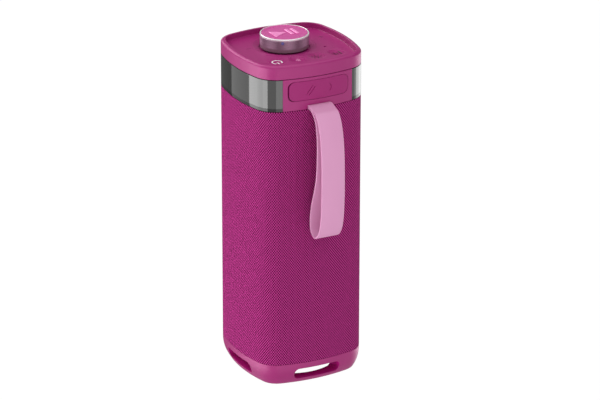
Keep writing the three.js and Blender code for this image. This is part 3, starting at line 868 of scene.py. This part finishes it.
def base():
    low, high = base_low.z, base_high.z
    levels = [(6.2 * MM, low), (5.3 * MM, low + 0.02 * MM), (4.85 * MM, low + 0.18 * MM),
              (4.55 * MM, low + 0.5 * MM)]
    steps = 12
    start = low + 0.9 * MM
    for i in range(steps + 1):
        z = start + (BASE_CURVE_TOP - start) * i / steps
        levels.append((base_inset(z), z))
    levels += [(0, high - 0.3 * MM), (0.08 * MM, high - 0.08 * MM), (0.3 * MM, high)]
    ring = tower("base_ring", levels)
    flare = 31 * MM
    opening = turned("opening", [(flare, low - MM), (flare, low), (30.2 * MM, low + 0.5 * MM),
                                 (BASE_OPENING, low + 1.2 * MM), (BASE_OPENING, high + MM)],
                     0, AXIS_Y, 96)
    cutters = [opening] + [slot_cutter(math.pi / 2 * i) for i in range(4)]
    pocket, well = 4.8 * MM, 3 * MM
    for i in range(1, 5):
        x, y = plan_middle(*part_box(f"foot_{i}"))
        cutters.append(turned("foot pocket", [(pocket, low - MM), (pocket, low + 1.4 * MM)], x, y, 40))
        cutters.append(turned("screw well", [(well, low), (well, low + 8.6 * MM)], x, y, 24))
    carve(ring, *cutters)
    finish_piece(ring, magenta, "housing", ["base"], angle=30)
    # The slot and opening walls get the lighter copy of the plastic: painted light in their shade.
    ring.data.materials.append(lit_slot_magenta)    # for the walls of the slots and the opening
    for polygon in ring.data.polygons:
        x, y, z = abs(polygon.center.x), abs(polygon.center.y - AXIS_Y), polygon.center.z
        surface = ARC_CENTRE + math.sqrt((SIDE_RADIUS - base_inset(z)) ** 2 - min(x, y) ** 2)
        in_slot = min(x, y) < SLOT_HALF + 0.5 * MM and max(x, y) < surface - 0.75 * MM
        in_opening = math.hypot(x, y) < BASE_OPENING + 0.6 * MM
        if (in_slot or in_opening) and low + 1.3 * MM < z < high - 0.5 * MM:
            polygon.material_index = 1


def feet():
    for i in range(1, 5):
        low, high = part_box(f"foot_{i}")
        x, y = plan_middle(low, high)
        radius = (high.x - low.x) / 2
        pad = turned(f"rubber_foot_{i}", [(radius - 0.9 * MM, low.z), (radius - 0.3 * MM, low.z + 0.1 * MM),
                                          (radius, low.z + 0.5 * MM), (radius, high.z)], x, y, 48)
        finish_piece(pad, black_rubber, "housing", [f"foot_{i}"], angle=35)


base()
feet()


# ------------------------------------------------------------------ strap
STRAP_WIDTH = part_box("strap")[1].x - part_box("strap")[0].x
STRAP_THICKNESS = 1.2 * MM
# Its middle line as (distance out from the tower's axis, height) in millimetres: out of the slot,
# down the outer leg, round the bottom, up the inner leg and back in.
STRAP_ROUTE = [
    (36.5, 192.62), (39.5, 192.62), (42, 192.5), (46.3, 190.95), (50.2, 189.3), (53.6, 184.7),
    (56.4, 176.8), (58.2, 165), (58.9, 148), (58.6, 130), (57, 117), (53.8, 109.6), (49.5, 106.15),
    (45.9, 107), (43.3, 110.4), (42.9, 117.5), (44.9, 127.5), (48.7, 138), (51.6, 150), (52.5, 166),
    (51.85, 176.5), (49.9, 184.7), (45.9, 189.6), (42, 191.2), (39.5, 191.36), (36.5, 191.36),
]


def smooth_path(points, steps):
    """Catmull-Rom curve through the points, evenly stepped between each pair."""
    path = []
    for i in range(len(points) - 1):
        p0, p1 = points[max(i - 1, 0)], points[i]
        p2, p3 = points[i + 1], points[min(i + 2, len(points) - 1)]
        for k in range(steps):
            t = k / steps
            path.append(0.5 * (2 * p1 + (p2 - p0) * t + (2 * p0 - 5 * p1 + 4 * p2 - p3) * t * t
                               + (3 * p1 - p0 - 3 * p2 + p3) * t ** 3))
    path.append(points[-1])
    return path


def strap():
    route = [Vector((0, AXIS_Y - out * MM, z * MM)) for out, z in STRAP_ROUTE]
    path = smooth_path(route, 8)
    half_width, half_thick, soft = STRAP_WIDTH / 2, STRAP_THICKNESS / 2, 0.28 * MM
    corner_steps = 3
    section = []
    for side, face, start in ((1, 1, 0), (-1, 1, 1), (-1, -1, 2), (1, -1, 3)):
        for i in range(corner_steps + 1):
            angle = math.pi / 2 * (start + i / corner_steps)
            section.append((side * (half_width - soft) + soft * math.cos(angle),
                            face * (half_thick - soft) + soft * math.sin(angle)))
    rings = []
    for i, centre in enumerate(path):
        along = (path[min(i + 1, len(path) - 1)] - path[max(i - 1, 0)]).normalized()
        outward = Vector((0, along.z, -along.y))
        rings.append([centre + Vector((u, 0, 0)) + outward * v for u, v in section])
    band = skin("silicone_strap", rings)
    smooth(band, angle=50)
    band.data.materials.append(silicone)
    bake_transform(band)
    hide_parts("strap", "strap_anchor")


strap()


# ------------------------------------------------------------------ pieces carried over from the frame
def dress_frame():
    """Gives every CAD node its slot's material, save the microphone, which gets black rubber as painted
    shade in its hole.
    """
    by_slot = {
        "body_plastic": magenta, "key_plastic": key_plastic, "knit_fabric": cloth,
        "smoked_band": band_glass, "frosted_plastic": frosted, "flap_rubber": flap_rubber,
        "strap_silicone": silicone, "knob_metal": knob_metal, "knob_edge": bright_edge,
        "knob_face": knob_pink, "steel": steel, "black_plastic": black_plastic,
        "black_rubber": black_rubber, "circuit_board": board, "magnet": dark_metal,
        "cone_plastic": black_plastic, "cell_wrap": cell_wrap, "radiator_metal": dark_metal,
    }
    for part in frame["record"]["subparts"]:
        node = frame["nodes"][part["node"]]
        node.data.materials.clear()
        node.data.materials.append(by_slot[part["material_slot"]])
    # Black rubber on the microphone is painted shade for the dark of its hole.
    microphone = frame["nodes"]["microphone"]
    microphone.data.materials.clear()
    microphone.data.materials.append(black_rubber)


dress_frame()


# ------------------------------------------------------------------ floor, light and camera
def studio_floor():
    material, _, _, shader = new_material("pale floor")
    shader.inputs["Base Color"].default_value = (0.02, 0.02, 0.02, 1)
    shader.inputs["Roughness"].default_value = 0.9
    shader.inputs["Specular IOR Level"].default_value = 0.0
    shader.inputs["Emission Color"].default_value = (1, 1, 1, 1)
    shader.inputs["Emission Strength"].default_value = 1.0
    reach = 3
    corners = [(-reach, -reach, 0), (reach, -reach, 0), (reach, reach, 0), (-reach, reach, 0)]
    floor = make("studio_floor", corners, [(0, 1, 2, 3)])
    floor.data.materials.append(material)
    floor.visible_diffuse = False
    floor.visible_glossy = False
    floor.visible_shadow = False


# Rings of studio cards round the object. Each takes the room light's place in one zone of heights.
# A ring is (start, full, fading, end), where it fades in and out as heights of the direction, from
# -1 straight down to 1 straight up, and then its cards as (where the card ends, radiance). A card
# ends at an angle in degrees from +X towards +Y, and the first card starts at -180.
CARD_RINGS = [
    ((-0.62, -0.54, -0.18, -0.10), [(-157, 5.0), (-118, 1.1), (-90, 2.25), (-60, 1.7), (-20, 1.0),
                                    (5, 1.0), (24, 2.0), (42, 2.0), (56, 0.5), (110, 0.22),
                                    (134, 0.96), (180, 4.4)]),
    ((-0.47, -0.43, -0.32, -0.28), [(-157, 5.0), (-118, 1.1), (-90, 2.25), (-60, 1.8), (-35, 1.1),
                                    (-25, 1.1), (-13, 1.9), (14, 4.6), (30, 4.2), (44, 2.8),
                                    (56, 0.5), (110, 0.22), (134, 0.96), (180, 4.4)]),
    ((0.0, 0.04, 0.24, 0.32), [(-150, 0.5), (-60, 1.0), (30, 0.4), (66, 0.7), (90, 0.4), (180, 0.4)]),
    ((0.24, 0.32, 0.72, 0.8), [(-150, 0.5), (-60, 1.25), (0, 0.4), (90, 0.2), (145, 4.2), (180, 1.0)]),
]
# Plain room light: (height of the direction, radiance)
ROOM = [(-1, 0.75), (-0.15, 0.75), (0.05, 0.9), (0.6, 0.9), (0.8, 1.7), (1, 1.8)]
BRIGHTEST = 7.0               # a colour ramp holds only 0 to 1, so radiance is a share of this


def studio_light():
    """Lights the object from the world. The camera itself sees a plain white background."""
    world = bpy.data.worlds.new("studio")
    bpy.context.scene.world = world
    world.use_nodes = True
    nodes, links = world.node_tree.nodes, world.node_tree.links
    nodes.clear()
    place = nodes.new("ShaderNodeTexCoord")
    split = nodes.new("ShaderNodeSeparateXYZ")
    links.new(place.outputs["Generated"], split.inputs["Vector"])
    height = split.outputs["Z"]
    angle = calculate(nodes, links, "ARCTAN2", split.outputs["Y"], split.outputs["X"])
    around = between(nodes, links, angle, start=-math.pi, end=math.pi)

    def ramp(stops, interpolation, factor):
        """Radiance from stops of (position, radiance)."""
        node = nodes.new("ShaderNodeValToRGB")
        node.color_ramp.interpolation = interpolation
        elements = node.color_ramp.elements
        while len(elements) > 1:
            elements.remove(elements[-1])
        for i, (position, level) in enumerate(stops):
            stop = elements[0] if i == 0 else elements.new(position)
            stop.position = position
            stop.color = (level / BRIGHTEST, level / BRIGHTEST, level / BRIGHTEST, 1)
        links.new(factor, node.inputs["Fac"])
        return calculate(nodes, links, "MULTIPLY", node.outputs["Color"], BRIGHTEST)

    def card_ring(cards):
        starts = [-180] + [end for end, _ in cards[:-1]]
        stops = [((start + 180) / 360, level) for start, (_, level) in zip(starts, cards)]
        return ramp(stops, "CONSTANT", around)

    def soft_step(low, high):
        return between(nodes, links, height, start=low, end=high, eased=True)

    upward = between(nodes, links, height, start=-1)
    radiance = ramp([((z + 1) / 2, level) for z, level in ROOM], "LINEAR", upward)
    for (start, full, fading, end), cards in CARD_RINGS:
        inside = calculate(nodes, links, "SUBTRACT", soft_step(start, full), soft_step(fading, end))
        difference = calculate(nodes, links, "SUBTRACT", card_ring(cards), radiance)
        radiance = calculate(nodes, links, "MULTIPLY_ADD", inside, difference, radiance)
    lit = nodes.new("ShaderNodeBackground")
    links.new(radiance, lit.inputs["Strength"])
    seen = nodes.new("ShaderNodeBackground")
    seen.inputs["Color"].default_value = (1, 1, 1, 1)
    path = nodes.new("ShaderNodeLightPath")
    choose = nodes.new("ShaderNodeMixShader")
    links.new(path.outputs["Is Camera Ray"], choose.inputs["Fac"])
    links.new(lit.outputs["Background"], choose.inputs[1])
    links.new(seen.outputs["Background"], choose.inputs[2])
    output = nodes.new("ShaderNodeOutputWorld")
    links.new(choose.outputs["Shader"], output.inputs["Surface"])


def camera():
    """The photograph's view, aimed at a point near the middle of the tower's height."""
    data = bpy.data.cameras.new("camera")
    data.sensor_width = 36
    data.lens = 213.86
    data.shift_x = 0.0155
    data.shift_y = 0.007
    seat = bpy.data.objects.new("camera", data)
    bpy.context.scene.collection.objects.link(seat)
    target = Vector((0, AXIS_Y, 0.1106))
    azimuth, elevation, distance = math.radians(-117.17), math.radians(21.58), 2.32
    level = Vector((math.cos(azimuth), math.sin(azimuth), 0)) * math.cos(elevation)
    seat.location = target + (level + Vector((0, 0, math.sin(elevation)))) * distance
    seat.rotation_mode = "QUATERNION"
    seat.rotation_quaternion = (target - seat.location).to_track_quat("-Z", "Y")
    bpy.context.scene.camera = seat


studio_floor()
studio_light()
camera()
bpy.context.scene.view_settings.view_transform = "Standard"
